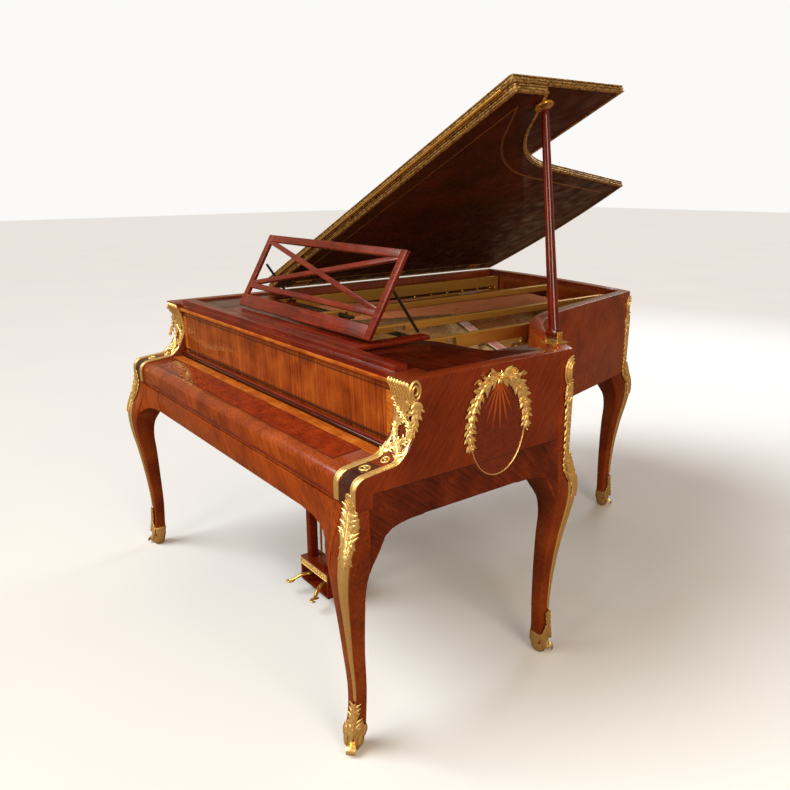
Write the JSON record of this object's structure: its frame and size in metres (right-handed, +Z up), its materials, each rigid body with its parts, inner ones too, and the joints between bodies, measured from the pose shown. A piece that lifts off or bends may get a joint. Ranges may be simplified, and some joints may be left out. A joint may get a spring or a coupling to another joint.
{
  "type": "grand piano",
  "caption": "Grand piano in a veneered Louis XV case with cabriole legs and gilt bronze mounts, lid propped open, music desk raised, fallboard closed.",
  "frame": {"origin": "middle of the whole object's box on the floor", "axes": "+Z up, +X towards the treble side, +Y from the keyboard to the tail"},
  "size_m": [1.5132, 1.886, 1.6079],
  "materials": {
    "kingwood_veneer": "French polished kingwood and mahogany veneer",
    "mahogany": "French polished",
    "gilt_bronze": "mercury gilt, chased",
    "brass": "polished",
    "spruce": "satin varnish",
    "maple": "bare",
    "gilded_iron": "bronze powder lacquer",
    "steel": "polished",
    "copper_wound": "bright copper winding",
    "felt": "woven wool felt",
    "ebonised_wood": "ebonised, polished",
    "ivory": "polished"
  },
  "bodies": {
    "case": {"bass_side": "kingwood_veneer", "treble_cheek": "kingwood_veneer", "bentside": "kingwood_veneer", "tail_panel": "kingwood_veneer", "inner_rim": "mahogany", "bottom_beams": "spruce", "keybed": "spruce", "front_skirt": "kingwood_veneer", "key_slip": "mahogany", "key_blocks": "mahogany", "name_board": "kingwood_veneer", "name_board_cap": "kingwood_veneer", "candle_boards": "mahogany", "fallboard_hinge": "brass", "leg_front_left": "kingwood_veneer", "leg_front_right": "kingwood_veneer", "leg_treble": "kingwood_veneer", "leg_tail_right": "kingwood_veneer", "leg_tail_left": "kingwood_veneer", "sabots": "gilt_bronze", "knee_mounts": "gilt_bronze", "arm_mounts": "gilt_bronze", "corner_mounts": "gilt_bronze", "wreaths": "gilt_bronze", "soundboard": "spruce", "iron_plate": "gilded_iron", "pin_block": "maple", "tuning_pins": "steel", "bass_strings": "copper_wound", "treble_strings": "steel", "bass_bridge": "maple", "treble_bridge": "maple", "key_frame": "maple", "action_rail": "maple", "prop_bracket": "brass", "pedal_box": "mahogany", "pedal_frieze": "gilt_bronze", "lyre_posts": "mahogany"},
    "fallboard": {"fallboard": "kingwood_veneer"},
    "desk_shelf": {"desk_shelf": "mahogany"},
    "music_desk": {"desk_stiles": "mahogany", "desk_rails": "mahogany", "desk_lattice": "mahogany"},
    "desk_stays": {"desk_stays": "ebonised_wood"},
    "lid": {"lid_main": "mahogany", "lid_moulding": "gilt_bronze", "prop_cup": "brass", "lid_hinges": "brass", "flap_hinge": "brass"},
    "flap": {"lid_flap": "kingwood_veneer", "flap_moulding": "gilt_bronze"},
    "prop": {"prop_stick": "mahogany"},
    "keys": {"white_keys": "ivory", "black_keys": "ebonised_wood"},
    "hammers": {"hammers": "maple"},
    "dampers": {"dampers": "felt"},
    "pedal_left": {"pedal_left": "gilt_bronze"},
    "pedal_right": {"pedal_right": "gilt_bronze"},
    "pedal_rod_left": {"pedal_rod_left": "brass"},
    "pedal_rod_right": {"pedal_rod_right": "brass"}
  },
  "joints": [
    {"name": "lid_open", "type": "hinge", "parent": "case", "child": "lid", "pos_m": [-0.74, 0, 0.938], "axis": [0, -1, 0], "range_deg": [0, 30]},
    {"name": "flap_fold", "type": "hinge", "parent": "lid", "child": "flap", "pos_m": [-0.74968, -0.332, 0.95886], "axis": [0.907, 0, 0.421], "range_deg": [0, 150]},
    {"name": "prop_fold", "type": "hinge", "parent": "case", "child": "prop", "pos_m": [0.662, -0.2, 0.957], "axis": [1, 0, 0], "range_deg": [0, 80]},
    {"name": "desk_slide", "type": "slide", "parent": "case", "child": "desk_shelf", "axis": [0, 1, 0], "range_m": [0, 0.07]},
    {"name": "desk_fold", "type": "hinge", "parent": "desk_shelf", "child": "music_desk", "pos_m": [0, -0.619, 0.945], "axis": [-1, 0, 0], "range_deg": [0, 56]},
    {"name": "stays_fold", "type": "hinge", "parent": "music_desk", "child": "desk_stays", "pos_m": [0, -0.531, 1.08356], "axis": [1, 0, 0], "range_deg": [0, 111.5]},
    {"name": "fallboard_open", "type": "hinge", "parent": "case", "child": "fallboard", "pos_m": [0, -0.744, 0.746], "axis": [-1, 0, 0], "range_deg": [0, 95]},
    {"name": "keys_dip", "type": "hinge", "parent": "case", "child": "keys", "pos_m": [0, -0.625, 0.672], "axis": [1, 0, 0], "range_deg": [0, 2.4], "stiffness_Nm_per_rad": 300, "springref_deg": -1.72},
    {"name": "hammers_rise", "type": "hinge", "parent": "case", "child": "hammers", "pos_m": [0, -0.496, 0.77], "axis": [1, 0, 0], "range_deg": [0, 19.2]},
    {"name": "dampers_lift", "type": "slide", "parent": "case", "child": "dampers", "axis": [0, 0, 1], "range_m": [0, 0.005]},
    {"name": "pedal_left_press", "type": "hinge", "parent": "case", "child": "pedal_left", "pos_m": [-0.015, -0.596, 0.068], "axis": [1, 0, 0], "range_deg": [0, 10], "stiffness_Nm_per_rad": 8, "springref_deg": -4.58},
    {"name": "pedal_rod_left_lift", "type": "slide", "parent": "case", "child": "pedal_rod_left", "axis": [0, 0, 1], "range_m": [0, 0.0085]},
    {"name": "pedal_right_press", "type": "hinge", "parent": "case", "child": "pedal_right", "pos_m": [0.075, -0.596, 0.068], "axis": [1, 0, 0], "range_deg": [0, 10], "stiffness_Nm_per_rad": 8, "springref_deg": -4.58},
    {"name": "pedal_rod_right_lift", "type": "slide", "parent": "case", "child": "pedal_rod_right", "axis": [0, 0, 1], "range_m": [0, 0.0085]}
  ],
  "couplings": [
    {"joint": "stays_fold", "follows": "desk_fold", "ratio": 1.9911},
    {"joint": "hammers_rise", "follows": "keys_dip", "ratio": 8},
    {"joint": "dampers_lift", "follows": "keys_dip", "m_per_rad": 0.11936},
    {"joint": "pedal_rod_left_lift", "follows": "pedal_left_press", "m_per_rad": 0.04869},
    {"joint": "pedal_rod_right_lift", "follows": "pedal_right_press", "m_per_rad": 0.04869}
  ]
}
